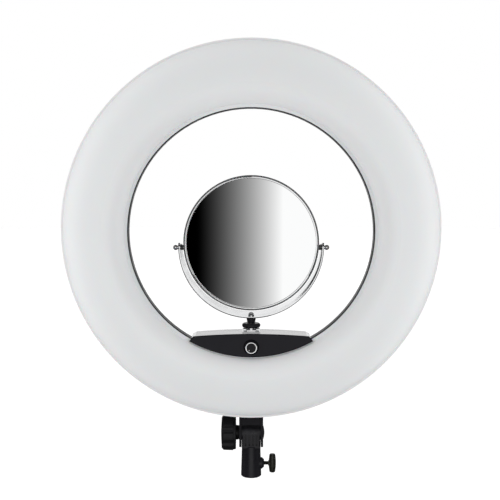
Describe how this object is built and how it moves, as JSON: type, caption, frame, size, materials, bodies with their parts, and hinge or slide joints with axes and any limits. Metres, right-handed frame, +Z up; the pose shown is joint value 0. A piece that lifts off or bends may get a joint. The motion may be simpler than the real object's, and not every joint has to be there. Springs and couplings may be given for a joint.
{
  "type": "ring light",
  "caption": "Domed opal ring light on a tilting clevis and stand socket, with a two-sided round mirror held in a yoke on the accessory shoe of its control bar.",
  "frame": {"origin": "centre of the stand socket's mouth, on the underside of the stand adapter", "axes": "+Z up along the socket, -Y towards the lit side, +X right as seen from the lit side"},
  "size_m": [0.48, 0.1013, 0.5655],
  "materials": {
    "black_plastic": "satin moulded",
    "housing_plastic": "fine textured",
    "opal_plastic": "satin opal",
    "chrome": "polished",
    "mirror_glass": "silvered",
    "steel": "bright zinc",
    "black_steel": "black coated",
    "brass": "machined",
    "nylon": "natural",
    "rubber": "matt",
    "shoe_metal": "satin nickel",
    "circuit_board": "white solder mask",
    "led_warm": "phosphor",
    "led_cool": "phosphor",
    "green_board": "solder mask",
    "component": "moulded",
    "core_plastic": "moulded"
  },
  "bodies": {
    "stand_adapter": {"stand_adapter": "black_plastic", "boss_insert": "brass"},
    "lock_pad": {"lock_pad": "nylon"},
    "lock_screw": {"lock_screw": "black_steel", "lock_handle": "black_steel"},
    "head": {"clevis_bracket": "black_steel", "bracket_screws": "black_steel", "tilt_bolt": "black_steel", "friction_washers": "rubber", "rear_housing": "housing_plastic", "front_diffuser": "opal_plastic", "housing_screws": "black_steel", "led_board_1": "circuit_board", "led_board_2": "circuit_board", "led_board_3": "circuit_board", "led_board_4": "circuit_board", "led_board_screws": "steel", "warm_leds": "led_warm", "cool_leds": "led_cool", "led_leads": "rubber", "bar_front_shell": "black_plastic", "bar_rear_shell": "black_plastic", "bar_shell_screws": "black_steel", "bar_screws": "black_steel", "driver_board": "green_board", "driver_capacitors": "component", "driver_inductor": "component", "dimmer_pot": "component", "dc_inlet": "black_plastic", "power_switch": "black_plastic", "cold_shoe": "shoe_metal", "shoe_screws": "steel"},
    "tilt_washer": {"tilt_washer": "black_steel"},
    "tilt_knob": {"tilt_knob": "black_plastic", "tilt_knob_insert": "brass"},
    "dimmer": {"dimmer_knob": "black_plastic", "dimmer_ring": "chrome", "dimmer_shaft": "steel"},
    "power_rocker": {"power_rocker": "black_plastic"},
    "mirror_foot": {"shoe_foot": "shoe_metal", "stem_stud": "shoe_metal", "stem_neck": "black_plastic", "dome_nut": "chrome"},
    "shoe_disc": {"shoe_disc": "black_plastic"},
    "mirror_yoke": {"mirror_yoke": "chrome"},
    "mirror": {"mirror_frame": "chrome", "front_mirror": "mirror_glass", "rear_mirror": "mirror_glass", "mirror_core": "core_plastic", "pivot_bushes": "black_steel", "pivot_screws": "chrome"}
  },
  "joints": [
    {"name": "head_tilt", "type": "hinge", "parent": "stand_adapter", "child": "head", "pos_m": [0, 0, 0.058], "axis": [1, 0, 0], "range_deg": [-90, 90]},
    {"name": "lock_travel", "type": "slide", "parent": "stand_adapter", "child": "lock_pad", "axis": [-1, 0, 0], "range_m": [0, 0.0012]},
    {"name": "lock_turn", "type": "hinge", "parent": "lock_pad", "child": "lock_screw", "pos_m": [0, 0, 0.0168], "axis": [-1, 0, 0], "range_deg": [0, 540]},
    {"name": "tilt_knob_travel", "type": "slide", "parent": "head", "child": "tilt_washer", "axis": [-1, 0, 0], "range_m": [0, 0.00125]},
    {"name": "tilt_knob_turn", "type": "hinge", "parent": "tilt_washer", "child": "tilt_knob", "pos_m": [0, 0, 0.058], "axis": [-1, 0, 0], "range_deg": [0, 360]},
    {"name": "dimmer_turn", "type": "hinge", "parent": "head", "child": "dimmer", "pos_m": [0, -0.061, 0.1828], "axis": [0, 1, 0], "range_deg": [0, 285]},
    {"name": "power_rock", "type": "hinge", "parent": "head", "child": "power_rocker", "pos_m": [0.026, -0.0235, 0.186], "axis": [0, 0, 1], "range_deg": [0, 26]},
    {"name": "foot_slide", "type": "slide", "parent": "head", "child": "mirror_foot", "axis": [0, -1, 0], "range_m": [0, 0.03]},
    {"name": "shoe_disc_turn", "type": "hinge", "parent": "mirror_foot", "child": "shoe_disc", "pos_m": [0, -0.042, 0.2045], "axis": [0, 0, 1], "continuous": true},
    {"name": "mirror_swivel", "type": "hinge", "parent": "mirror_foot", "child": "mirror_yoke", "pos_m": [0, -0.042, 0.2045], "axis": [0, 0, 1], "continuous": true},
    {"name": "mirror_tilt", "type": "hinge", "parent": "mirror_yoke", "child": "mirror", "pos_m": [0, -0.042, 0.3055], "axis": [1, 0, 0], "range_deg": [-120, 120]}
  ],
  "couplings": [
    {"joint": "lock_travel", "follows": "lock_turn", "m_per_rad": 0.00012732},
    {"joint": "tilt_knob_travel", "follows": "tilt_knob_turn", "m_per_rad": 0.00019894}
  ]
}
